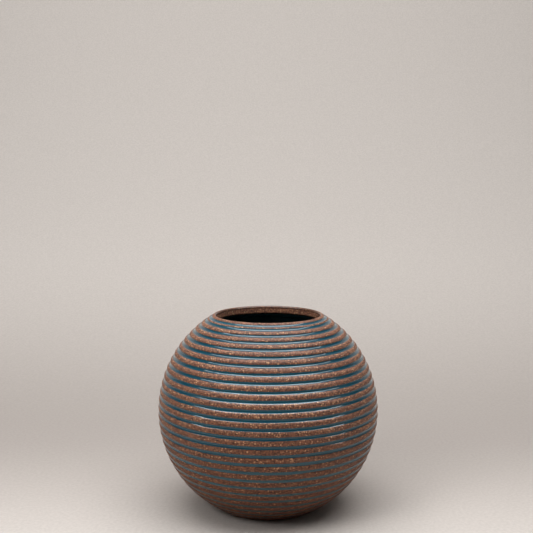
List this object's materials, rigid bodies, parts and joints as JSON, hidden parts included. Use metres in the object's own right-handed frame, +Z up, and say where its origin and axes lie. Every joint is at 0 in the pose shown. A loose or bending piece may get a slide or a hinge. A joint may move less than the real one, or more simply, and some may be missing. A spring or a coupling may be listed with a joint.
{
  "type": "ball vase",
  "caption": "Round ball-shaped stoneware vase with a wide mouth and horizontal grooves, each filled with pooled glaze; holds stems or cut flowers in water.",
  "frame": {"origin": "centre of the foot, on the plane the vase stands on", "axes": "+Z up along the vase's axis of revolution, out of the mouth; +X and +Y are any two directions at right angles, because the vase is round"},
  "size_m": [0.2, 0.2, 0.176],
  "materials": {
    "bare_clay": "satin speckled brown stoneware",
    "groove_glaze": "glossy pooled teal glaze",
    "liner_glaze": "glossy dark teal liner glaze"
  },
  "bodies": {
    "root": {"stoneware_body": "bare_clay", "glaze_ring_01": "groove_glaze", "glaze_ring_02": "groove_glaze", "glaze_ring_03": "groove_glaze", "glaze_ring_04": "groove_glaze", "glaze_ring_05": "groove_glaze", "glaze_ring_06": "groove_glaze", "glaze_ring_07": "groove_glaze", "glaze_ring_08": "groove_glaze", "glaze_ring_09": "groove_glaze", "glaze_ring_10": "groove_glaze", "glaze_ring_11": "groove_glaze", "glaze_ring_12": "groove_glaze", "glaze_ring_13": "groove_glaze", "glaze_ring_14": "groove_glaze", "glaze_ring_15": "groove_glaze", "glaze_ring_16": "groove_glaze", "glaze_ring_17": "groove_glaze", "glaze_ring_18": "groove_glaze", "glaze_ring_19": "groove_glaze", "glaze_ring_20": "groove_glaze", "glaze_ring_21": "groove_glaze", "glaze_ring_22": "groove_glaze", "glaze_ring_23": "groove_glaze", "glaze_ring_24": "groove_glaze", "glaze_ring_25": "groove_glaze", "glaze_ring_26": "groove_glaze", "glaze_ring_27": "groove_glaze", "liner_glaze": "liner_glaze"}
  },
  "joints": []
}
